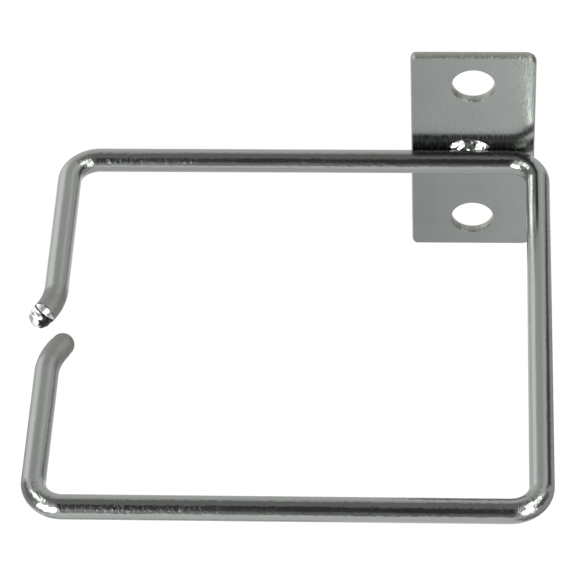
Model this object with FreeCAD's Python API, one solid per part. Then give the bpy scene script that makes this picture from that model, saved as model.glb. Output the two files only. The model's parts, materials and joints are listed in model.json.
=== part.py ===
"""Cable management bracket for a rack rail: an open ring of bent round wire, welded to a two-hole plate.

Millimetres and degrees. The origin is the middle of the plate's back face, which lies on the rail.
+Y points out of that face into the rail, +Z is up, and the ring stands out level towards -Y.
"""
import FreeCAD, Part
import math
import os

# Driving dimensions of the ring
wire_diameter = 4.0
ring_clear_width = 75.7         # inside the ring, across the rail
ring_clear_depth = 72.0         # inside the ring, out from the plate
corner_inner_radius = 3.0       # the four square corners
tip_bend_angle = 32.0           # how far each free end turns out of line with its arm
tip_bend_inner_radius = 8.0
tip_straight = 0.4              # straight wire between a tip's bend and its nose
nose_shoulder = 0.08            # step left round the wire where its end was turned down
nose_barrel = 0.7               # straight part of the turned end, between the step and the dome
mouth_length = 2.25             # clear length of the open side between the two noses
mouth_offset = 1.25             # the mouth's middle lies this far in front of the ring's middle

# Driving dimensions of the plate
plate_width = 21.0
end_land = 3.125                # metal left between a hole and the plate's end
plate_thickness = 1.5
plate_inset = 2.55              # from the ring's outer side to the plate's edge
ring_side_corner_radius = 1.8   # the two corners near the ring's closed side
free_side_corner_radius = 1.0   # the two corners over the back bar
edge_roll = 0.4                 # rounding that the punch leaves on the front edges
rail_hole_pitch = 31.75
rail_hole_diameter = 7.0

# Driving dimensions of the weld
bead_length = 7.0               # along the back bar
bead_offset = 0.6               # from the plate's middle to the bead's, towards the open side
bead_rise = 1.3                 # up the plate, above the top of the wire
bead_throw = 1.1                # out from the plate
bead_root_gap = 0.06            # gap between wire and plate where the weld metal stopped running down

# The ring's centre line, in the plane z = 0
wire_radius = wire_diameter / 2
nose_radius = wire_radius - nose_shoulder
corner_radius = corner_inner_radius + wire_radius
tip_bend_radius = tip_bend_inner_radius + wire_radius
plate_height = rail_hole_pitch + rail_hole_diameter + 2 * end_land
plate_front = -plate_thickness
back_y = plate_front - wire_radius
front_y = back_y - ring_clear_depth - wire_diameter
closed_x = plate_width / 2 + plate_inset - wire_radius
open_x = closed_x - ring_clear_width - wire_diameter

# Each tip runs from the corner of its bend to the step behind its nose
tip_turn = math.radians(tip_bend_angle)
tip_run = tip_bend_radius * math.tan(tip_turn / 2) + tip_straight
tip_aside = tip_run * math.sin(tip_turn)
tip_along = tip_run * math.cos(tip_turn)
mouth_y = (back_y + front_y) / 2 - mouth_offset
step_to_mouth = nose_barrel * math.cos(tip_turn) + nose_radius + mouth_length / 2


def bent_path(corners, radii):
    """Centre line of a bent wire: straight runs from corner to corner, each corner rounded to its radius."""
    edges = []
    run_start = corners[0]
    for before, corner, after, radius in zip(corners, corners[1:], corners[2:], radii):
        to_before = (before - corner).normalize()
        to_after = (after - corner).normalize()
        half_angle = to_before.getAngle(to_after) / 2
        setback = radius / math.tan(half_angle)
        bisector = (to_before + to_after).normalize()
        bend_start = corner + to_before * setback
        bend_middle = corner + bisector * (radius / math.sin(half_angle) - radius)
        bend_end = corner + to_after * setback
        edges.append(Part.LineSegment(run_start, bend_start).toShape())
        edges.append(Part.Arc(bend_start, bend_middle, bend_end).toShape())
        run_start = bend_end
    edges.append(Part.LineSegment(run_start, corners[-1]).toShape())
    return Part.Wire(edges)


def turned_nose(step, inner_point):
    """The wire's end, turned a little under the wire's size: a short barrel with half a ball on it."""
    outward = (step - inner_point).normalize()
    barrel = Part.makeCylinder(nose_radius, nose_barrel, step, outward)
    dome = Part.makeSphere(nose_radius, step + outward * nose_barrel, outward, 0, 90, 360)
    return barrel.fuse(dome)


def make_wire_ring():
    """One wire, bent from the rear nose round the four corners to the front nose."""
    rear_step_y = mouth_y + step_to_mouth
    front_step_y = mouth_y - step_to_mouth
    corners = [
        FreeCAD.Vector(open_x - tip_aside, rear_step_y, 0),
        FreeCAD.Vector(open_x, rear_step_y + tip_along, 0),
        FreeCAD.Vector(open_x, back_y, 0),
        FreeCAD.Vector(closed_x, back_y, 0),
        FreeCAD.Vector(closed_x, front_y, 0),
        FreeCAD.Vector(open_x, front_y, 0),
        FreeCAD.Vector(open_x, front_step_y - tip_along, 0),
        FreeCAD.Vector(open_x + tip_aside, front_step_y, 0),
    ]
    radii = [tip_bend_radius] + [corner_radius] * 4 + [tip_bend_radius]
    path = bent_path(corners, radii)
    first_run = corners[1] - corners[0]
    section = Part.Face(Part.Wire(Part.Circle(corners[0], first_run, wire_radius).toShape()))
    rod = path.makePipe(section)
    noses = [turned_nose(corners[0], corners[1]), turned_nose(corners[-1], corners[-2])]
    return rod.fuse(noses).removeSplitter()


def upright_edges(shape, x):
    """The edges at this x that run through the plate's thickness."""
    return [
        edge for edge in shape.Edges
        if all(math.isclose(vertex.X, x, abs_tol=1e-6) for vertex in edge.Vertexes)
        and math.isclose(edge.Length, plate_thickness)
    ]


def front_edges(shape):
    """Every edge of the plate's front face: its outline and the two hole rims."""
    return [edge for edge in shape.Edges if math.isclose(edge.BoundBox.YMax, plate_front, abs_tol=1e-6)]


def make_mounting_plate():
    """Punched plate: rounded corners, two rail holes, and a rolled edge on the side the punch came from."""
    lowest_corner = FreeCAD.Vector(-plate_width / 2, plate_front, -plate_height / 2)
    plate = Part.makeBox(plate_width, plate_thickness, plate_height, lowest_corner)
    plate = plate.makeFillet(free_side_corner_radius, upright_edges(plate, -plate_width / 2))
    plate = plate.makeFillet(ring_side_corner_radius, upright_edges(plate, plate_width / 2))
    for side in (-1, 1):
        hole_front = FreeCAD.Vector(0, plate_front, side * rail_hole_pitch / 2)
        through = FreeCAD.Vector(0, 1, 0)
        plate = plate.cut(Part.makeCylinder(rail_hole_diameter / 2, plate_thickness, hole_front, through))
    return plate.makeFillet(edge_roll, front_edges(plate))


def make_weld_bead(ring):
    """Convex bead on the plate's front face, filling the nook on top of the back bar."""
    bead_top = wire_radius + bead_rise
    bead_foot = math.sqrt(wire_radius ** 2 - (wire_radius - bead_root_gap) ** 2)
    half_height = (bead_top - bead_foot) / 2
    section_radius = (half_height ** 2 + bead_throw ** 2) / (2 * bead_throw)
    axis_y = plate_front - bead_throw + section_radius
    axis_z = (bead_top + bead_foot) / 2
    left_x = -bead_offset - bead_length / 2
    right_x = -bead_offset + bead_length / 2

    # Half of the bead's outline seen from above, spun about the line behind the plate's face that it is round
    tail_left = FreeCAD.Vector(left_x, plate_front, axis_z)
    crown = FreeCAD.Vector(-bead_offset, plate_front - bead_throw, axis_z)
    tail_right = FreeCAD.Vector(right_x, plate_front, axis_z)
    axis_left = FreeCAD.Vector(left_x, axis_y, axis_z)
    axis_right = FreeCAD.Vector(right_x, axis_y, axis_z)
    outline = Part.Wire([
        Part.LineSegment(axis_left, tail_left).toShape(),
        Part.Arc(tail_left, crown, tail_right).toShape(),
        Part.LineSegment(tail_right, axis_right).toShape(),
        Part.LineSegment(axis_right, axis_left).toShape(),
    ])
    spun = Part.Face(outline).revolve(axis_left, FreeCAD.Vector(1, 0, 0), 360)

    # Only what stands in front of the plate and outside the wire is weld metal
    reach = 2 * section_radius
    behind_corner = FreeCAD.Vector(left_x, plate_front, axis_z - reach)
    behind = Part.makeBox(bead_length, 2 * reach, 2 * reach, behind_corner)
    return spun.cut(behind).cut(ring)


wire_ring = make_wire_ring()
nodes = {
    "wire_ring": wire_ring,
    "mounting_plate": make_mounting_plate(),
    "weld_bead": make_weld_bead(wire_ring),
}
os.makedirs("parts", exist_ok=True)
for name, shape in nodes.items():
    shape.exportStep(os.path.join("parts", name + ".step"))
    print(name, "solids", len(shape.Solids), "valid", shape.isValid(), "volume", round(shape.Volume, 2))
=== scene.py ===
# %% [markdown]
# A cable management bracket in bright zinc
#
# The bracket is one welded piece: a ring of bent round wire, a punched plate that screws to a rack rail,
# and the weld bead that joins them. Its solids are loaded first as a fixed frame, because the sizes and
# places below follow them. Their box is kept from the start, to place the floor and the studio by.

# %% Load the frame
import json
import math
import bmesh
import bpy
from mathutils import Matrix, Vector, noise


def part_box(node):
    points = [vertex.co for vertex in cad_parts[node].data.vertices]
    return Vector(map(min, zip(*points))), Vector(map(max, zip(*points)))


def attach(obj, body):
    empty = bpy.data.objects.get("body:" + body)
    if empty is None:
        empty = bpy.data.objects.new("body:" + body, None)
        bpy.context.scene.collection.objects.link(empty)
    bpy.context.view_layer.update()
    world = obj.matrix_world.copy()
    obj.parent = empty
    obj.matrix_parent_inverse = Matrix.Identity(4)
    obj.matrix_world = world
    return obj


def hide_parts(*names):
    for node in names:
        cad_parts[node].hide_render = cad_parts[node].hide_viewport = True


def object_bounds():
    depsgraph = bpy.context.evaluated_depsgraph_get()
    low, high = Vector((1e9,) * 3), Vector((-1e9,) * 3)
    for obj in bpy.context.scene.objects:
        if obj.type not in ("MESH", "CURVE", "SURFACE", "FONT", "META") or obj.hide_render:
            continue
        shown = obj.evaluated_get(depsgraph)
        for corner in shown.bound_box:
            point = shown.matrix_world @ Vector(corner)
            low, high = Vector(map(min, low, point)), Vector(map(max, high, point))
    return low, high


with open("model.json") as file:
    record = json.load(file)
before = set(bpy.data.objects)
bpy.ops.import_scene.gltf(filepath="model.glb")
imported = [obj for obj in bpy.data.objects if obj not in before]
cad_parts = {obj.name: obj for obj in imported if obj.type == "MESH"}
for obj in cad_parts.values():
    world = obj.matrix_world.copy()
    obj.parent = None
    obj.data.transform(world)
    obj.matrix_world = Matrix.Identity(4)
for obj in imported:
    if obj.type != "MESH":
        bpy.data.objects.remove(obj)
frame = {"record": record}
cad_low, cad_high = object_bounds()
MM = 0.001

# %% [markdown]
# Colours, nodes and objects
#
# A shader works in linear light, while a hex colour is sRGB, so one function turns a hex value
# into linear light. A second adds a node, sets it and links it, which keeps every material below down to a
# list of what it is made of. Two more start a material and turn a finished bmesh into an object.

# %% Small helpers
white = (1, 1, 1, 1)


def linear(hex_colour):
    """The linear colour of an sRGB hex value, as a shader socket takes it."""
    channels = [int(hex_colour[place:place + 2], 16) / 255 for place in (1, 3, 5)]
    return [c / 12.92 if c <= 0.04045 else ((c + 0.055) / 1.055) ** 2.4 for c in channels] + [1.0]


def add_node(tree, kind, inputs=None, **settings):
    """One node with its settings. Each input, by name or number, takes a value or another node's output."""
    node = tree.nodes.new(kind)
    for name, value in settings.items():
        setattr(node, name, value)
    for socket, value in (inputs or {}).items():
        if isinstance(value, bpy.types.NodeSocket):
            tree.links.new(value, node.inputs[socket])
        else:
            node.inputs[socket].default_value = value
    return node


def empty_material(name):
    """A new material and its node tree, with nothing in it yet."""
    material = bpy.data.materials.new(name)
    material.use_nodes = True
    material.node_tree.nodes.clear()
    return material, material.node_tree


def mesh_object(shape, name, material):
    """An object with the faces of a bmesh and one material, linked into the scene."""
    mesh = bpy.data.meshes.new(name)
    shape.to_mesh(mesh)
    shape.free()
    mesh.materials.append(material)
    made = bpy.data.objects.new(name, mesh)
    bpy.context.scene.collection.objects.link(made)
    return made


print("mid grey in linear light", [round(channel, 3) for channel in linear("#808080")])

# %% [markdown]
# Bright zinc plating
#
# All three pieces look as if they went through one plating bath, so they share a metal: zinc with a clear
# passivation, which is a cool mid grey that mirrors the room with a slight blur. What differs is the steel
# under it. So one function builds the plating from a bump height, and each finish below supplies the marks
# of how its own steel was made: drawn, rolled or welded. Two finishes also paint light into the colour: the
# plate grows lighter towards the ring's closed side, and the rear nose has a painted highlight and painted
# shade.

# %% The plating shared by all pieces
cloud_size = 7.0            # mm, drift of the passivation's tint
cloud_share = 0.4           # of the way from one tint to the other
dulled_roughness = 0.64     # where the zinc lost its shine
even_tint = (1 - cloud_share) / 2   # with the clouds on top, half way between the tints


def zinc_plating(name, tints, roughness, make_marks):
    """Zinc in two close tints, in a range of roughness, over the steel that make_marks draws.

    make_marks returns places in mm, a bump height and its depth in mm, what streaks the gloss, how much
    lighter or duller the metal is from place to place, which on the plate is a painted light gradient, and
    how much of another tint lies there, which on the rear nose is a painted highlight and painted shade.
    """
    material, tree = empty_material(name)
    marks = make_marks(tree)
    clouds = add_node(tree, "ShaderNodeTexNoise", {
        "Vector": marks["place"], "Scale": 1 / cloud_size, "Detail": 3.0})
    drift = add_node(tree, "ShaderNodeMath", {
        0: clouds.outputs[0], 1: cloud_share, 2: marks["tone_and_painted_light"]}, operation="MULTIPLY_ADD")
    tint = add_node(tree, "ShaderNodeMix", {
        0: drift.outputs[0], 6: linear(tints[0]), 7: linear(tints[1])}, data_type="RGBA")
    colour = add_node(tree, "ShaderNodeMix", {
        0: marks["retint_and_painted_light"], 6: tint.outputs[2], 7: marks["new_tint_and_painted_light"]}, data_type="RGBA")
    gloss = add_node(tree, "ShaderNodeMapRange", {
        0: marks["streaks"], 3: roughness[0], 4: roughness[1]})
    worn = add_node(tree, "ShaderNodeMix", {
        0: marks["dulled"], 2: gloss.outputs[0], 3: dulled_roughness}, data_type="FLOAT")
    relief = add_node(tree, "ShaderNodeBump", {
        "Height": marks["height"], "Distance": marks["depth"] * MM})
    metal = add_node(tree, "ShaderNodeBsdfPrincipled", {
        "Base Color": colour.outputs[2],
        "Metallic": 1.0,
        "Roughness": worn.outputs[0],
        "Normal": relief.outputs[0],
    })
    add_node(tree, "ShaderNodeOutputMaterial", {"Surface": metal.outputs[0]})
    return material


print("dull zinc has a roughness of", dulled_roughness)

# %% [markdown]
# Finish of the wire
#
# Wire is pulled through a die, which leaves fine lines along it, and the zinc over them lies in soft
# dimples, uneven from patch to patch and deeper on the cross bars than on the arms. All this follows the
# wire round its bends, so it is drawn in the place that each point had before bending, which the mesh will
# carry as an attribute. Bending also roughens the skin like orange peel. More attributes say how strongly,
# how dimpled and how dull each place is, and where it has another tint, which is the dull tips' own tint
# and, on the rear nose, a painted highlight and painted shade.

# %% Zinc on drawn wire
wire_tints = ("#969a97", "#999b97")
wire_roughness = (0.15, 0.24)
line_width = 0.4            # mm, across one drawing line, coarser than a real one so that it shows
line_length = 14.0          # mm, along it
dimple_size = 0.7           # mm
patch_size = 9.0            # mm
patch_edge = (0.38, 0.56)   # of the patches' noise, between the skin around a patch and the patch
peel_size = 0.45            # mm
wire_relief = 0.07          # mm, height that the shares below are parts of
bar_share = 1.0             # dimples in the patches of a cross bar
arm_share = 0.25            # dimples in the patches of an arm
even_share = 0.45           # dimples around the patches
line_share = 0.25           # drawing lines
peel_share = 0.8            # orange peel


def drawn_marks(tree):
    """Lines along the wire, dimples in the zinc and orange peel in the bends."""
    unbent, strain, dimpled, dulled, retint_and_painted_light, new_tint_and_painted_light = (
        add_node(tree, "ShaderNodeAttribute", attribute_name=name)
        for name in ("unbent", "strain", "dimpled", "dulled", "retint_and_painted_light", "new_tint_and_painted_light"))
    place = unbent.outputs["Vector"]
    stretched = add_node(tree, "ShaderNodeMapping", {
        "Vector": place, "Scale": (1 / line_width, 1 / line_width, 1 / line_length)})
    lines = add_node(tree, "ShaderNodeTexNoise", {
        "Vector": stretched.outputs[0], "Scale": 1.0, "Detail": 2.0})
    dimples = add_node(tree, "ShaderNodeTexNoise", {
        "Vector": place, "Scale": 1 / dimple_size, "Detail": 2.0})
    patches = add_node(tree, "ShaderNodeTexNoise", {
        "Vector": place, "Scale": 1 / patch_size, "Detail": 1.0})
    peel = add_node(tree, "ShaderNodeTexNoise", {
        "Vector": place, "Scale": 1 / peel_size, "Detail": 1.0})
    patch_share = add_node(tree, "ShaderNodeMapRange", {
        0: dimpled.outputs["Fac"], 3: arm_share, 4: bar_share})
    dimple_share = add_node(tree, "ShaderNodeMapRange", {
        0: patches.outputs[0], 1: patch_edge[0], 2: patch_edge[1],
        3: even_share, 4: patch_share.outputs[0]})
    lined = add_node(tree, "ShaderNodeMath", {
        0: lines.outputs[0], 1: line_share}, operation="MULTIPLY")
    skin = add_node(tree, "ShaderNodeMath", {
        0: dimples.outputs[0], 1: dimple_share.outputs[0], 2: lined.outputs[0]}, operation="MULTIPLY_ADD")
    peel_here = add_node(tree, "ShaderNodeMath", {
        0: strain.outputs["Fac"], 1: peel_share}, operation="MULTIPLY")
    height = add_node(tree, "ShaderNodeMath", {
        0: peel.outputs[0], 1: peel_here.outputs[0], 2: skin.outputs[0]}, operation="MULTIPLY_ADD")
    return {
        "place": place, "height": height.outputs[0], "depth": wire_relief, "streaks": lines.outputs[0],
        "tone_and_painted_light": even_tint, "dulled": dulled.outputs["Fac"], "retint_and_painted_light": retint_and_painted_light.outputs["Fac"],
        "new_tint_and_painted_light": new_tint_and_painted_light.outputs["Color"],
    }


wire_zinc = zinc_plating("bright_zinc_on_drawn_wire", wire_tints, wire_roughness, drawn_marks)
print("made", wire_zinc.name)

# %% [markdown]
# Finish of the plate
#
# The plate was punched out of rolled sheet. Its faces are flatter than the wire's skin, with a faint grain
# along the sheet whose ridges are hazy. Its colour grows lighter towards the ring's closed side: that is
# painted light, standing in for the brighter floor that the plate mirrors there.
# Its cut edges are rolled over, torn and duller, because the punch drags the metal along. An edge is told
# from a face by its normal.

# %% Zinc on rolled sheet
# The sheet tints span a random tone drift and a painted light gradient across the plate.
sheet_tints_and_painted_light = ("#808582", "#9da09d")
sheet_roughness = (0.16, 0.45)
painted_light_half_span = 10.5           # mm, from the plate's middle to where its painted light is darkest and lightest
grain_width = 0.08          # mm, coarser than real rolling grain, which would be too fine to show
grain_length = 2.0          # mm
haze_range = (0.5, 0.75)    # of the grain's noise, between clear metal and the haziest ridge
sheet_relief = 0.002        # mm
edge_tint = "#989b93"
edge_dullness = 0.34        # 1 would be as dull as the zinc gets
edge_range = (0.998, 0.94)  # how squarely a surface looks forward or back, between a face and an edge
tear_range = (0.98, 0.6)    # the same, between smooth metal and the deepest tears
tear_size = 0.5             # mm
tear_share = 90.0           # height of the tears, in sheet reliefs


def place_on_piece(tree, coordinates):
    """Places on a piece in mm, from its texture coordinates."""
    in_mm = add_node(tree, "ShaderNodeMapping", {
        "Vector": coordinates.outputs["Object"], "Scale": (1 / MM, 1 / MM, 1 / MM)})
    return in_mm.outputs[0]


def rolled_marks(tree):
    """Grain along the sheet on the faces, torn metal on the cut edges, and painted light across the plate.
    """
    coordinates = add_node(tree, "ShaderNodeTexCoord")
    place = place_on_piece(tree, coordinates)
    stretched = add_node(tree, "ShaderNodeMapping", {
        "Vector": place, "Scale": (1 / grain_width, 1 / grain_width, 1 / grain_length)})
    grain = add_node(tree, "ShaderNodeTexNoise", {
        "Vector": stretched.outputs[0], "Scale": 1.0, "Detail": 3.0})
    torn = add_node(tree, "ShaderNodeTexNoise", {
        "Vector": place, "Scale": 1 / tear_size, "Detail": 3.0})
    normal = add_node(tree, "ShaderNodeSeparateXYZ", {0: coordinates.outputs["Normal"]})
    facing = add_node(tree, "ShaderNodeMath", {0: normal.outputs["Y"]}, operation="ABSOLUTE")
    edge = add_node(tree, "ShaderNodeMapRange", {
        0: facing.outputs[0], 1: edge_range[0], 2: edge_range[1]})
    tears = add_node(tree, "ShaderNodeMapRange", {
        0: facing.outputs[0], 1: tear_range[0], 2: tear_range[1], 4: tear_share})
    height = add_node(tree, "ShaderNodeMath", {
        0: torn.outputs[0], 1: tears.outputs[0], 2: grain.outputs[0]}, operation="MULTIPLY_ADD")
    dull_edge = add_node(tree, "ShaderNodeMath", {
        0: edge.outputs[0], 1: edge_dullness}, operation="MULTIPLY")
    ridges = add_node(tree, "ShaderNodeMapRange", {
        0: grain.outputs[0], 1: haze_range[0], 2: haze_range[1]})
    # Painted light: the colour grows lighter across the plate, towards the ring's closed side.
    across = add_node(tree, "ShaderNodeSeparateXYZ", {0: place})
    tone_and_painted_light = add_node(tree, "ShaderNodeMapRange", {
        0: across.outputs["X"], 1: -painted_light_half_span, 2: painted_light_half_span, 4: 1 - cloud_share})
    return {
        "place": place, "height": height.outputs[0], "depth": sheet_relief, "streaks": ridges.outputs[0],
        "tone_and_painted_light": tone_and_painted_light.outputs[0], "dulled": dull_edge.outputs[0], "retint_and_painted_light": edge.outputs[0],
        "new_tint_and_painted_light": linear(edge_tint),
    }


sheet_zinc = zinc_plating("bright_zinc_on_rolled_sheet", sheet_tints_and_painted_light, sheet_roughness, rolled_marks)
print("made", sheet_zinc.name)

# %% [markdown]
# Finish of the weld
#
# Weld metal freezes in ripples and small lumps, and the plating makes them glitter. The lumps that show in
# the outline are modelled, so the material only adds the ripples.

# %% Zinc on weld metal
ripple_size = 0.4           # mm
weld_relief = 0.03          # mm


def frozen_marks(tree):
    """Fine ripples all over."""
    coordinates = add_node(tree, "ShaderNodeTexCoord")
    place = place_on_piece(tree, coordinates)
    ripples = add_node(tree, "ShaderNodeTexNoise", {
        "Vector": place, "Scale": 1 / ripple_size, "Detail": 2.0})
    return {
        "place": place, "height": ripples.outputs[0], "depth": weld_relief, "streaks": ripples.outputs[0],
        "tone_and_painted_light": even_tint, "dulled": 0.0, "retint_and_painted_light": 0.0, "new_tint_and_painted_light": linear(wire_tints[0]),
    }


weld_zinc = zinc_plating("bright_zinc_on_weld_metal", wire_tints, wire_roughness, frozen_marks)
print("made", weld_zinc.name)

# %% [markdown]
# The line of the wire
#
# The ring is one wire bent in a plane, from the rear nose round four square corners to the front nose. Its
# outer sides are read from the frame, and the few sizes that a box can't tell are named here. The corner
# points below are where the straight runs would meet if the bends were sharp.

# %% Sizes of the ring
wire_radius = 2.0 * MM
ring_clear_width = 75.7 * MM
corner_radius = 5.0 * MM            # at the wire's centre line
tip_bend_radius = 10.0 * MM
tip_turn = math.radians(32.0)
tip_straight = 0.4 * MM
nose_barrel = 0.7 * MM              # straight part of a turned end, between its step and its dome
nose_radius = 1.92 * MM
mouth_length = 2.25 * MM
mouth_offset = 1.25 * MM

ring_low, ring_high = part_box("wire_ring")
closed_x = ring_high.x - wire_radius
open_x = closed_x - ring_clear_width - 2 * wire_radius
back_y = ring_high.y - wire_radius
front_y = ring_low.y + wire_radius
tip_run = tip_bend_radius * math.tan(tip_turn / 2) + tip_straight
tip_aside = tip_run * math.sin(tip_turn)
tip_along = tip_run * math.cos(tip_turn)
mouth_y = (back_y + front_y) / 2 - mouth_offset
step_to_mouth = nose_barrel * math.cos(tip_turn) + nose_radius + mouth_length / 2
rear_step_y = mouth_y + step_to_mouth
front_step_y = mouth_y - step_to_mouth

ring_corners = [
    Vector((open_x - tip_aside, rear_step_y, 0)),
    Vector((open_x, rear_step_y + tip_along, 0)),
    Vector((open_x, back_y, 0)),
    Vector((closed_x, back_y, 0)),
    Vector((closed_x, front_y, 0)),
    Vector((open_x, front_y, 0)),
    Vector((open_x, front_step_y - tip_along, 0)),
    Vector((open_x + tip_aside, front_step_y, 0)),
]
bend_radii = [tip_bend_radius] + [corner_radius] * 4 + [tip_bend_radius]
ring_spans = [round(span / MM, 2) for span in (closed_x - open_x, back_y - front_y)]
print("ring measures", ring_spans, "mm between centre lines")

# %% [markdown]
# Bending the wire
#
# A curve with a round bevel would draw this ring too, but its surface would not know where it was before
# bending. So the wire is grown as a bender feeds it: a circle is extruded along each straight run, and
# turned about the bend's centre in small steps at each corner. Every new circle keeps the note of how far
# along the wire it lies, for the finish above to read.

# %% Ways to lengthen the wire
bend_step = math.radians(3.0)
up = Vector((0, 0, 1))

wire = bmesh.new()
unbent = wire.verts.layers.float_vector.new("unbent")
strain = wire.verts.layers.float.new("strain")
dimpled = wire.verts.layers.float.new("dimpled")
dulled = wire.verts.layers.float.new("dulled")
retint_and_painted_light = wire.verts.layers.float.new("retint_and_painted_light")
new_tint_and_painted_light = wire.verts.layers.float_color.new("new_tint_and_painted_light")


def lengthen(ring, move, along=0.0, narrowing=1.0, bending=0.0):
    """Extrude a circle of edges, carry the new circle by a matrix and note where it lies on the wire."""
    grown = bmesh.ops.extrude_edge_only(wire, edges=ring)["geom"]
    points = [part for part in grown if isinstance(part, bmesh.types.BMVert)]
    bmesh.ops.transform(wire, matrix=move, verts=points)
    for point in points:
        across_a, across_b, distance = point[unbent]
        point[unbent] = (across_a * narrowing, across_b * narrowing, distance + along / MM)
        point[strain] = bending
    return [part for part in grown if isinstance(part, bmesh.types.BMEdge) and part.is_boundary]


def feed(ring, start, end):
    """A straight run of wire."""
    return lengthen(ring, Matrix.Translation(end - start), (end - start).length)


def bend(ring, centre, turn, radius):
    """A bend about an upright axis, in small equal steps."""
    steps = math.ceil(abs(turn) / bend_step)
    about = Matrix.Translation(centre) @ Matrix.Rotation(turn / steps, 4, up) @ Matrix.Translation(-centre)
    for step in range(1, steps + 1):
        share = math.sin(math.pi * step / steps)
        ring = lengthen(ring, about, radius * abs(turn) / steps, bending=share)
    return ring


print("a bend takes a step every", round(math.degrees(bend_step)), "degrees")

# %% Feed and bend the ring
wire_sides = 64
neck_length = 0.36 * MM             # the wire starts to narrow this far behind the step of its nose
tip_axes = [
    (ring_corners[0] - ring_corners[1]).normalized(),
    (ring_corners[-1] - ring_corners[-2]).normalized(),
]
rear_neck = ring_corners[0] - tip_axes[0] * neck_length
front_neck = ring_corners[-1] - tip_axes[1] * neck_length

bmesh.ops.create_circle(wire, segments=wire_sides, radius=wire_radius)
for point in wire.verts:
    point[unbent] = point.co / MM
stand = Matrix.Translation(rear_neck) @ up.rotation_difference(-tip_axes[0]).to_matrix().to_4x4()
bmesh.ops.transform(wire, matrix=stand, verts=wire.verts)
rear_ring = list(wire.edges)

ring = rear_ring
fed_to = rear_neck
for before, corner, after, radius in zip(ring_corners, ring_corners[1:], ring_corners[2:], bend_radii):
    heading = (corner - before).normalized()
    leaving = (after - corner).normalized()
    turn = math.atan2(heading.cross(leaving).z, heading.dot(leaving))
    setback = radius * math.tan(abs(turn) / 2)
    bend_start = corner - heading * setback
    bend_centre = bend_start + up.cross(heading) * math.copysign(radius, turn)
    ring = feed(ring, fed_to, bend_start)
    ring = bend(ring, bend_centre, turn, radius)
    fed_to = corner + leaving * setback
front_ring = feed(ring, fed_to, front_neck)
wire_length = max(point[unbent].z for point in wire.verts) * MM
print("wire is", round(wire_length / MM, 1), "mm long between its noses, in", len(wire.faces), "faces")

# %% [markdown]
# Turning the noses
#
# Each end is a turned dome, a little narrower than the wire. The profile is worked out as pairs of advance
# and radius, and the end circle is extruded along it. The circles lie close together, so that the marks of
# the next step can be pressed into them.

# %% Turn the ends
profile_step = 0.03 * MM


def nose_profile():
    """Advance from the step and radius, along neck, barrel and dome."""
    profile = []
    shank = neck_length + nose_barrel
    shank_steps = round(shank / profile_step)
    for step in range(shank_steps):
        share = step / shank_steps
        eased = (1 - math.cos(math.pi * share)) / 2
        profile.append((share * shank - neck_length, wire_radius + (nose_radius - wire_radius) * eased))
    dome_steps = round(nose_radius * math.pi / 2 / profile_step)
    for step in range(dome_steps):
        latitude = math.pi / 2 * step / dome_steps
        profile.append((nose_barrel + nose_radius * math.sin(latitude), nose_radius * math.cos(latitude)))
    return profile


def turn_nose(ring, step_middle, outward, profile, way):
    """Extrude the end circle along the nose's profile and close the tip.

    The way is 1 where the wire's length is counted towards the tip, and -1 where it is counted from it.
    """
    to_origin = Matrix.Translation(-step_middle)
    for (start, wide), (end, narrow) in zip(profile, profile[1:]):
        narrowing = narrow / wide
        across = Matrix.Scale(narrowing, 4) @ Matrix.Scale(1 / narrowing, 4, outward)
        shift = Matrix.Translation(step_middle + outward * (end - start))
        ring = lengthen(ring, shift @ across @ to_origin, way * (end - start), narrowing)
    cap = bmesh.ops.edgeloop_fill(wire, edges=ring)["faces"]
    tip = bmesh.ops.poke(wire, faces=cap)["verts"][0]
    tip[unbent] = tip.link_edges[0].other_vert(tip)[unbent]


nose = nose_profile()
turn_nose(rear_ring, ring_corners[0], tip_axes[0], nose, -1)
turn_nose(front_ring, ring_corners[-1], tip_axes[1], nose, 1)
print("each nose is drawn with", len(nose), "circles")

# %% [markdown]
# Marks on the rear nose
#
# The front nose is smooth. The rear one has a notch that runs slantwise round it, nearer the tip on top
# than underneath, and shallow rings beyond. A bump could fake them, but here each point is pressed in along
# the way that its surface faces, so the marks are real geometry and catch the light from any side.

# %% Cut the notch and the rings
notch_half_width = 0.15 * MM
notch_depth = 0.20 * MM
notch_start = -0.43 * MM            # from the step, a quarter turn round from the notch's foremost point
notch_slant = 1.57 * MM             # its foremost point lies this much nearer the tip
notch_turn = math.radians(26.0)     # that point lies this far round from the top, towards the mouth
notch_limit = -0.24 * MM            # the notch runs square round the wire where it would lie further back
ring_pitch = 1.1 * MM
ring_depth = 0.07 * MM
to_mouth = up.cross(tip_axes[0])
to_foremost = up * math.cos(notch_turn) + to_mouth * math.sin(notch_turn)


def past_notch(point):
    """How far beyond the notch a point of the rear nose lies, and which way its surface faces."""
    from_step = -point[unbent].z * MM - neck_length
    on_barrel = min(from_step, nose_barrel)
    outward = (point.co - ring_corners[0] - tip_axes[0] * on_barrel).normalized()
    latitude = math.asin(min(max(outward.dot(tip_axes[0]), 0.0), 1.0))
    notch_at = max(notch_start + notch_slant * outward.dot(to_foremost), notch_limit)
    return on_barrel + nose_radius * latitude - notch_at, outward


for point in wire.verts:
    if point[unbent].z <= 0:
        beyond, outward = past_notch(point)
        notch = notch_depth * max(0.0, 1 - abs(beyond) / notch_half_width)
        rings = ring_depth * (1 - math.cos(2 * math.pi * max(0.0, beyond) / ring_pitch)) / 2
        point.co -= outward * (notch + rings)
print("the notch slants by", round(math.degrees(math.atan(notch_slant / nose_radius))), "degrees")

# %% [markdown]
# Where the shine differs
#
# From the bend to the end both tips look dull, apart from the rear nose. That one is turned metal whose
# colour is lightened into a painted highlight, with painted shade in the notch and in spots along its
# start, and a painted dark reflection on the side towards the mouth. The cross bars are more dimpled than
# the arms.
# The note of how far along the wire each point lies, and its place in the ring, tell these apart.

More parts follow.
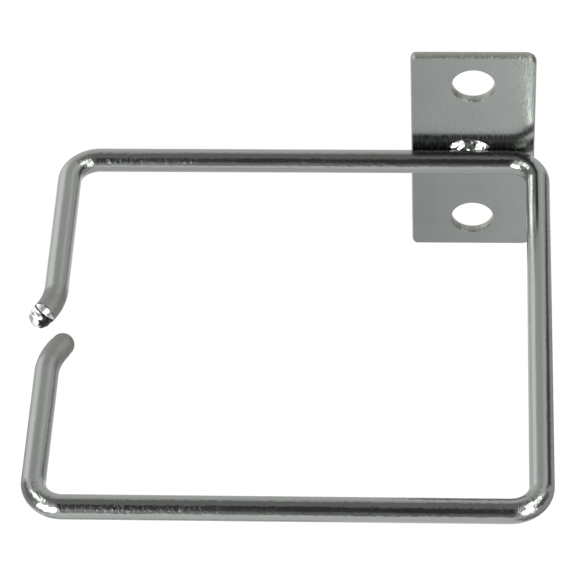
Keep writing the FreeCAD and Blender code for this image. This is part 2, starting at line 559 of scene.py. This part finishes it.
# %% Mark the tips and the cross bars
tip_length = tip_bend_radius * tip_turn + tip_straight - neck_length
fade_length = 3.0 * MM              # over which a tip grows dull
fade_raggedness = 0.6               # in fade lengths
fade_grain = 1.5 * MM
dull_tint = "#898b87"
# The turned tint is a painted highlight on the rear nose, lightened well past the rest of the zinc; the
# dark tint is painted shade and a painted dark reflection there.
turned_tint_and_painted_highlight = "#dfe1df"
turned_dullness = 0.20              # 1 would be as dull as the zinc gets
painted_shade_tint = "#2e302f"
painted_shade_dullness = 0.4
painted_dark_reflection_side = 0.48                    # how far round to the mouth the painted dark reflection starts, 1 being its middle
painted_reflection_raggedness = 0.25
painted_shade_grain = 0.5 * MM
bright_neck = 0.02 * MM             # the turned metal, with its painted highlight and shade, reaches this far behind the neck
spot_width = 0.2 * MM
bar_tolerance = 0.01 * MM

for point in wire.verts:
    distance = point[unbent].z * MM
    off_bars = min(abs(point.co.y - back_y), abs(point.co.y - front_y))
    point[dimpled] = float(off_bars <= wire_radius + bar_tolerance)
    if distance < bright_neck:
        beyond, outward = past_notch(point)
        # Painted shade in the notch and in spots along the nose's start, a painted dark reflection on its
        # mouth side, and a painted highlight over the rest of the nose.
        speck = noise.noise(point.co / painted_shade_grain)
        in_notch = abs(beyond) < notch_half_width
        in_spot = distance > bright_neck - spot_width and speck > 0
        on_painted_dark_reflection = beyond > 0 and outward.dot(to_mouth) + painted_reflection_raggedness * speck > painted_dark_reflection_side
        painted_shade_here = in_notch or in_spot or on_painted_dark_reflection
        point[retint_and_painted_light] = 1.0
        point[dulled] = painted_shade_dullness if painted_shade_here else turned_dullness
        point[new_tint_and_painted_light] = linear(painted_shade_tint if painted_shade_here else turned_tint_and_painted_highlight)
    else:
        into_tip = (tip_length - min(distance, wire_length - distance)) / fade_length
        into_tip += fade_raggedness * noise.noise(point.co / fade_grain) * (into_tip > 0)
        point[retint_and_painted_light] = min(max(into_tip, 0.0), 1.0)
        point[dulled] = point[retint_and_painted_light]
        point[new_tint_and_painted_light] = linear(dull_tint)
print("each tip is dull over", round(tip_length / MM, 1), "mm")

# %% [markdown]
# Finishing a piece
#
# A finished piece is smooth except where its form has a real edge, rides on the frame's only body, and
# takes the place of its plain solid, which is hidden.

# %% Place the wire
sharp_angle = math.radians(40.0)


def finish_piece(shape, name, material, node):
    """Make the object, smooth it, and fit it into the frame in place of its plain solid."""
    bmesh.ops.recalc_face_normals(shape, faces=shape.faces)
    for face in shape.faces:
        face.smooth = True
    piece = mesh_object(shape, name, material)
    piece.data.set_sharp_from_angle(angle=sharp_angle)
    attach(piece, "root")
    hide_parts(node)
    print(name, "has", len(piece.data.polygons), "faces")


finish_piece(wire, "plated_wire_ring", wire_zinc, "wire_ring")

# %% [markdown]
# The plate
#
# A punch rolls the front edge over as it enters the sheet, cuts a smooth band and then tears the rest,
# which leaves the holes a little wider at the back. A bevel would round the edge evenly, so the outline is
# inset in small steps instead. They follow an ellipse that is deeper than it is wide and stop part way
# round, so the roll meets the face in a crease. The hole pattern is read from the record, as a maker would
# read it from the drawing.

# %% Punch the outline and the holes
ring_side_corner = 1.8 * MM
free_side_corner = 1.0 * MM
corner_sides = 10
hole_sides = 80
half_unit = 0.5                 # half the side of the square that is scaled to the plate's size
round_profile = 0.5             # of a bevel, which makes it a quarter of a circle

plate_low, plate_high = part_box("mounting_plate")
rail_bolts = next(mount for mount in frame["record"]["mounts"] if mount["name"] == "rail_bolts")
hole_radius = rail_bolts["dims"]["hole_r_mm"] * MM
hole_pitch = rail_bolts["dims"]["spacing_y_mm"] * MM
upright = Matrix.Rotation(math.pi / 2, 4, "X")

plate = bmesh.new()
bmesh.ops.create_grid(plate, x_segments=1, y_segments=1, size=half_unit)
to_size = Matrix.Diagonal((plate_high.x - plate_low.x, plate_high.z - plate_low.z, 1, 1))
bmesh.ops.transform(plate, matrix=upright @ to_size, verts=plate.verts)
for side, radius in ((-1, free_side_corner), (1, ring_side_corner)):
    outer = [point for point in plate.verts if point.co.x * side > plate_high.x - radius / 2]
    bmesh.ops.bevel(plate, geom=outer, offset=radius, segments=corner_sides, profile=round_profile,
                    affect="VERTICES", material=-1)
bmesh.ops.delete(plate, geom=plate.faces[:], context="FACES_ONLY")
for side in (-1, 1):
    at_hole = Matrix.Translation((0, 0, side * hole_pitch / 2)) @ upright
    bmesh.ops.create_circle(plate, segments=hole_sides, radius=hole_radius, matrix=at_hole)
bmesh.ops.triangle_fill(plate, edges=plate.edges[:], use_beauty=True, normal=(0, -1, 0))
print("outline filled with", len(plate.faces), "triangles")

# %% Give the plate its thickness and edges
roll_depth = 0.95 * MM          # through the thickness
roll_width = 0.22 * MM          # across the face
roll_end = math.radians(50.0)   # how much of the ellipse the roll follows, a quarter being 90
roll_steps = 8
tear_depth = 0.40 * MM
tear_flare = 0.07 * MM
face_margin = 0.08 * MM         # a narrow flat border that keeps the face's shading flat
plate_thickness = plate_high.y - plate_low.y


def step_in(faces, inset, forward):
    """Inset a flat region of the plate and carry it towards -Y."""
    bmesh.ops.inset_region(plate, faces=faces, thickness=inset, use_even_offset=True, use_boundary=True)
    corners = {point for face in faces for point in face.verts}
    bmesh.ops.translate(plate, vec=(0, -forward, 0), verts=list(corners))


back_face = plate.faces[:]
bmesh.ops.translate(plate, vec=(0, -tear_depth, 0), verts=plate.verts)
raised = bmesh.ops.extrude_face_region(plate, geom=back_face, use_keep_orig=True)["geom"]
front_face = [part for part in raised if isinstance(part, bmesh.types.BMFace)]
raised_points = [part for part in raised if isinstance(part, bmesh.types.BMVert)]
bmesh.ops.translate(plate, vec=(0, -(plate_thickness - roll_depth - tear_depth), 0), verts=raised_points)
width_scale = roll_width / (1 - math.cos(roll_end))
depth_scale = roll_depth / math.sin(roll_end)
for step in range(roll_steps):
    before = roll_end * step / roll_steps
    after = roll_end * (step + 1) / roll_steps
    step_in(front_face, width_scale * (math.cos(before) - math.cos(after)),
            depth_scale * (math.sin(after) - math.sin(before)))
step_in(front_face, face_margin, 0.0)
step_in(back_face, tear_flare, -tear_depth)
finish_piece(plate, "plated_mounting_plate", sheet_zinc, "mounting_plate")

# %% [markdown]
# The weld bead
#
# The bead is a short run of weld metal in the nook on top of the back bar. A ball is squeezed to its
# length, height and throw, sunk behind the plate's face so that it meets the plate at a shallow angle, and
# cut off there. A weld in a nook wets both sides and pulls its face nearly flat between them, so the ball
# is pressed against a slanting face that is only curved along its length. Noise that is the same on every
# run gives it the lumps of a hand-held weld.

# %% Run the bead
bead_low, bead_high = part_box("weld_bead")
bead_sink = 0.9 * MM            # the ball's middle lies this far behind the plate's face
face_flatness = 0.85            # 1 would press the ball flat against the slanting face
face_lean = math.radians(35.0)  # how far the face looks up
face_curve = 6.0 * MM           # radius along the bead
end_bluntness = 0.75            # under 1, the ball's ends grow blunt
lump_size = 1.3 * MM
lump_height = 0.16 * MM
drop_size = 0.6 * MM
drop_height = 0.06 * MM
bead_detail = 6

plate_face_y = bead_high.y
bead_throw = plate_face_y - bead_low.y
squeeze_y = bead_throw + bead_sink
outline_share = math.sqrt(1 - (bead_sink / squeeze_y) ** 2)
half_length = (bead_high.x - bead_low.x) / 2
half_height = (bead_high.z - bead_low.z) / 2
bead_middle = Vector((
    (bead_high.x + bead_low.x) / 2,
    plate_face_y + bead_sink,
    (bead_high.z + bead_low.z) / 2,
))
face_normal = Vector((0, -math.cos(face_lean), math.sin(face_lean)))
face_top = Vector((bead_middle.x, plate_face_y, bead_high.z))

bead = bmesh.new()
bmesh.ops.create_icosphere(bead, subdivisions=bead_detail, radius=1.0)
for point in bead.verts:
    point.co.x = math.copysign(abs(point.co.x) ** end_bluntness, point.co.x)
squeeze = Matrix.Diagonal((half_length / outline_share, squeeze_y, half_height / outline_share, 1))
bmesh.ops.transform(bead, matrix=Matrix.Translation(bead_middle) @ squeeze, verts=bead.verts)
for point in bead.verts:
    along = point.co.x - bead_middle.x
    proud = (point.co - face_top).dot(face_normal) + along ** 2 / (2 * face_curve)
    lump = noise.noise(point.co / lump_size) * lump_height + noise.noise(point.co / drop_size) * drop_height
    point.co += face_normal * (lump - face_flatness * max(0.0, proud))
cut = bmesh.ops.bisect_plane(bead, geom=bead.verts[:] + bead.edges[:] + bead.faces[:],
                             plane_co=(0, plate_face_y, 0), plane_no=(0, 1, 0), clear_outer=True)
rim = [part for part in cut["geom_cut"] if isinstance(part, bmesh.types.BMEdge)]
bmesh.ops.edgeloop_fill(bead, edges=rim)
finish_piece(bead, "plated_weld_bead", weld_zinc, "weld_bead")

# %% [markdown]
# The studio
#
# Bright metal is seen by what it mirrors, so the room matters as much as the finish. A white floor, soft
# boxes round the part and grey cards between them give the wire its light and dark bands. The floor glows
# a little to the eye and in reflections, so it looks white without more light on the part, and it still
# takes the part's soft shadow.

# %% The floor
floor_drop = 45.0 * MM
floor_half = 1.5                # metres
floor_paint = "#8c8c8c"
floor_roughness = 0.9
floor_glow = 0.77
corner_signs = ((-1, -1), (1, -1), (1, 1), (-1, 1))     # of a sheet's corners, in order round it


def seen_directly(tree):
    """1 where a ray comes from the camera, a reflection or a clear material, else 0."""
    path = add_node(tree, "ShaderNodeLightPath")
    mirrored = add_node(tree, "ShaderNodeMath", {
        0: path.outputs["Is Camera Ray"], 1: path.outputs["Is Glossy Ray"]}, operation="ADD")
    seen = add_node(tree, "ShaderNodeMath", {
        0: mirrored.outputs[0], 1: path.outputs["Is Transmission Ray"]}, operation="ADD", use_clamp=True)
    return seen.outputs[0]


def stage_sheet(name, corners, material):
    """A flat four-cornered sheet that belongs to the studio and not to the part."""
    shape = bmesh.new()
    shape.faces.new([shape.verts.new(corner) for corner in corners])
    sheet = mesh_object(shape, name, material)
    return sheet


floor_white, floor_tree = empty_material("white_floor_paper")
glow = add_node(floor_tree, "ShaderNodeMath", {
    0: seen_directly(floor_tree), 1: floor_glow}, operation="MULTIPLY")
paper = add_node(floor_tree, "ShaderNodeBsdfPrincipled", {
    "Base Color": linear(floor_paint),
    "Roughness": floor_roughness,
    "Specular IOR Level": 0.0,
    "Emission Color": white,
    "Emission Strength": glow.outputs[0],
})
add_node(floor_tree, "ShaderNodeOutputMaterial", {"Surface": paper.outputs[0]})
floor_z = cad_low.z - floor_drop
stage_sheet("floor", [(x * floor_half, y * floor_half, floor_z) for x, y in corner_signs], floor_white)
print("floor lies", round(floor_drop / MM), "mm under the part")

# %% The room
ambient = 0.35                  # the room's light on the part, 1 being what the camera sees

world = bpy.data.worlds.new("white_room")
world.use_nodes = True
bpy.context.scene.world = world
room = world.node_tree
room.nodes.clear()
room_light = add_node(room, "ShaderNodeMapRange", {0: seen_directly(room), 3: ambient, 4: 1.0})
air = add_node(room, "ShaderNodeBackground", {"Color": white, "Strength": room_light.outputs[0]})
add_node(room, "ShaderNodeOutputWorld", {"Surface": air.outputs[0]})
print("the room lights the part at", ambient, "of the brightness that the camera sees")

# %% [markdown]
# Soft boxes and cards
#
# A photographer shapes metal with lamps and cards, and so does this scene. Soft boxes make the bright
# strips. Grey cards, which only reflections see, make the dark bands that show the wire is round: one hides
# the camera, some tone down the room, and a flag stands close by on the right. All of them are hidden from
# the camera itself, so that a view from any side is clear.

# %% Where the lamps and cards stand
# Compass directions as the part sees them: 0 is straight behind it, 90 is right, 180 is the camera's side.
# Compass, height, width and tallness in degrees, distance in metres, brightness where 1 is the white floor.
soft_boxes = {
    "front_left_box": (-142.0, 4.0, 32.0, 38.0, 0.45, 15.0),
    "front_right_box": (137.0, 19.0, 24.0, 38.0, 0.70, 5.0),
    "left_high_box": (-92.0, 46.0, 28.0, 22.0, 0.70, 3.6),
    "right_high_box": (98.0, 54.0, 28.0, 22.0, 0.70, 3.6),
    "back_left_box": (-46.0, 14.0, 28.0, 38.0, 0.70, 0.55),
}
cards = {
    "front_card": (177.0, 46.0, 34.0, 50.0, 0.75, 0.02),
    "front_low_card": (177.0, 8.0, 34.0, 27.0, 0.75, 0.24),
    "top_card": (-60.0, 80.0, 62.0, 62.0, 0.75, 0.30),
    "back_upper_card": (-10.0, 46.0, 50.0, 20.0, 0.80, 0.80),
    "left_card": (-97.0, 12.0, 68.0, 40.0, 0.75, 0.32),
    "right_card": (75.0, 14.0, 76.0, 38.0, 0.75, 0.75),
    "right_dark_card": (90.0, 16.0, 60.0, 28.0, 0.73, 0.15),
}

# Papers just over the floor: the lowest x and y and the highest ones in metres, and the brightness
paper_lift = 1.0 * MM
paper_z = floor_z + paper_lift
papers = {
    "left_paper": (-0.90, -0.55, -0.135, 0.05, 0.50),
    "right_paper": (0.085, -0.35, 0.90, 0.50, 0.62),
    # The next two papers are painted shadows: a faint one on the floor under the ring and a deeper one
    # under the left of the front bar, both seen only in reflections.
    "painted_shadow_under_ring": (-0.085, -0.066, 0.03, 0.02, 0.90),
    "painted_shadow_under_front_bar": (-0.10, -0.105, -0.025, -0.083, 0.60),
    "rim_paper": (0.03, -0.20, 0.084, 0.05, 0.40),
}

# An upright flag beside the closed bar, tall in front and low behind, in metres
flag_x = 0.09
flag_corners = [(flag_x, -0.03, 0.0), (flag_x, 0.085, 0.0), (flag_x, 0.085, 0.022), (flag_x, -0.03, 0.085)]
flag_brightness = 0.12
print("studio has", len(soft_boxes), "soft boxes,", len(cards), "cards,", len(papers), "papers and a flag")

# %% Set up the lamps and cards
part_middle = (cad_low + cad_high) / 2


def studio_place(compass, height, wide, tall, distance):
    """Matrix of a sheet that faces the part from that direction, and its width and tallness in metres."""
    turn = math.radians(compass)
    rise = math.radians(height)
    away = Vector((math.sin(turn) * math.cos(rise), math.cos(turn) * math.cos(rise), math.sin(rise)))
    facing = away.to_track_quat("Z", "Y").to_matrix().to_4x4()
    spans = [2 * distance * math.tan(math.radians(angle) / 2) for angle in (wide, tall)]
    return Matrix.Translation(part_middle + away * distance) @ facing, spans


def mirrored_sheet(name, corners, brightness):
    """A grey sheet that only reflections see."""
    paint, tree = empty_material(name + "_paint")
    tone = add_node(tree, "ShaderNodeEmission", {"Color": white, "Strength": brightness})
    add_node(tree, "ShaderNodeOutputMaterial", {"Surface": tone.outputs[0]})
    sheet = stage_sheet(name, corners, paint)
    sheet.visible_camera = False
    sheet.visible_diffuse = False
    sheet.visible_shadow = False


for name, (compass, height, wide, tall, distance, brightness) in soft_boxes.items():
    place, (width, tallness) = studio_place(compass, height, wide, tall, distance)
    lamp = bpy.data.lights.new(name, "AREA")
    lamp.shape = "RECTANGLE"
    lamp.size = width
    lamp.size_y = tallness
    lamp.energy = brightness * math.pi * width * tallness
    box = bpy.data.objects.new(name, lamp)
    box.matrix_world = place
    box.visible_camera = False
    bpy.context.scene.collection.objects.link(box)
    print(name, "gives", round(lamp.energy, 2), "watts")

for name, (compass, height, wide, tall, distance, brightness) in cards.items():
    place, (width, tallness) = studio_place(compass, height, wide, tall, distance)
    corners = [place @ Vector((x * width / 2, y * tallness / 2, 0)) for x, y in corner_signs]
    mirrored_sheet(name, corners, brightness)

for name, (low_x, low_y, high_x, high_y, brightness) in papers.items():
    corners = [(low_x, low_y, paper_z), (high_x, low_y, paper_z),
               (high_x, high_y, paper_z), (low_x, high_y, paper_z)]
    mirrored_sheet(name, corners, brightness)
mirrored_sheet("right_flag", flag_corners, flag_brightness)

# %% [markdown]
# The camera
#
# The view is a long lens from above the front, a little to the right, with a slight roll. The camera is
# built from the point that it aims at, the way a tripod is set: turn, tilt, roll and distance.

# %% Camera
aim_point = Vector((-30.495, -32.716, 0.0)) * MM
camera_distance = 544.61 * MM
camera_tilt = math.radians(47.455)
camera_turn = math.radians(4.635)
camera_roll = math.radians(-3.041)
lens_mm = 206.97
sensor_mm = 36.0

lens = bpy.data.cameras.new("studio_camera")
lens.lens = lens_mm
lens.sensor_width = sensor_mm
camera = bpy.data.objects.new("studio_camera", lens)
turned = Matrix.Rotation(camera_turn, 4, "Z")
tilted = Matrix.Rotation(math.pi / 2 - camera_tilt, 4, "X")
rolled = Matrix.Rotation(camera_roll, 4, "Z")
look = turned @ tilted @ rolled
camera.matrix_world = Matrix.Translation(aim_point) @ look @ Matrix.Translation((0, 0, camera_distance))
bpy.context.scene.collection.objects.link(camera)
bpy.context.scene.camera = camera
bpy.context.scene.view_settings.view_transform = "Standard"
print("camera at", [round(value / MM, 1) for value in camera.matrix_world.translation])

# %% [markdown]
# Bringing the scene up to date
#
# The view layer is updated last, so that every object's place is current.

# %% Update the scene
bpy.context.view_layer.update()
